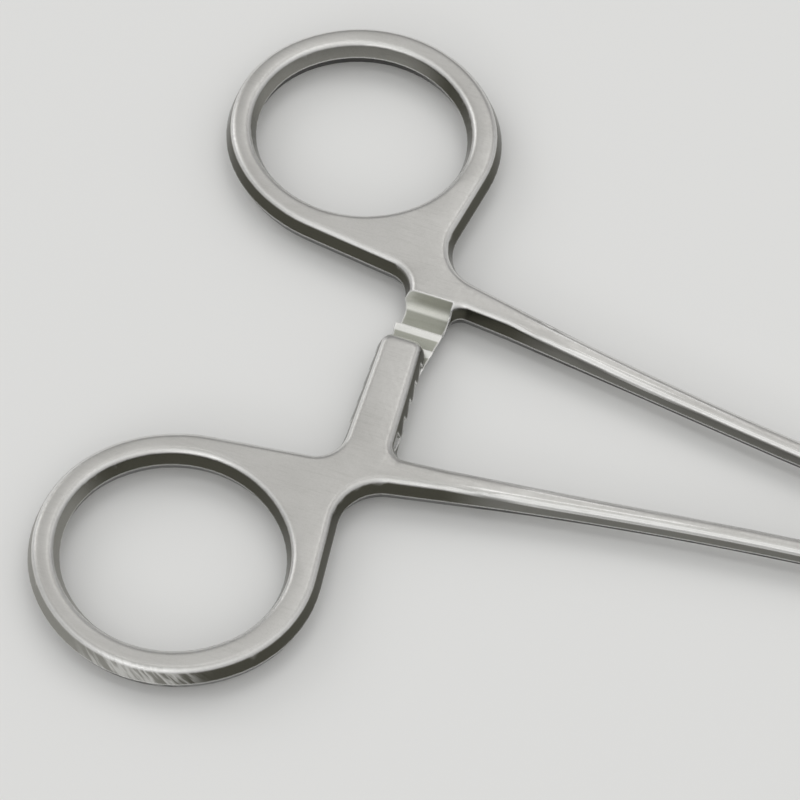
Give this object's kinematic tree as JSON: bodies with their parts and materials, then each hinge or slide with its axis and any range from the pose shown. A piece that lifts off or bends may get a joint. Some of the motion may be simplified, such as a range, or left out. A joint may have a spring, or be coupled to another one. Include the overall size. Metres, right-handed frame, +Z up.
{
  "type": "guidewire pliers",
  "caption": "Slim ring-handled steel pliers with a box lock, a stepped ratchet between the handles and straight grooved jaws for gripping a guidewire.",
  "frame": {"origin": "middle of the bounding box in plan, on the surface that the box lock lies on, jaws closed", "axes": "+X along the pliers towards the jaws, +Y towards the finger ring of the female half, +Z up, along the pivot"},
  "size_m": [0.14, 0.0786, 0.0048],
  "materials": {
    "female_half_steel": "satin forged stainless steel, smooth rounded edges",
    "male_half_steel": "satin forged stainless steel, smooth rounded edges",
    "pin_steel": "rivet head ground flush with the box lock"
  },
  "bodies": {
    "female_half": {"female_handle_half": "female_half_steel", "box_lock_pin": "pin_steel"},
    "male_half": {"male_handle_half": "male_half_steel"}
  },
  "joints": [
    {"name": "box_lock", "type": "hinge", "parent": "female_half", "child": "male_half", "pos_m": [0.032, 0, 0.0024], "axis": [0, 0, 1], "range_deg": [0, 40]}
  ]
}
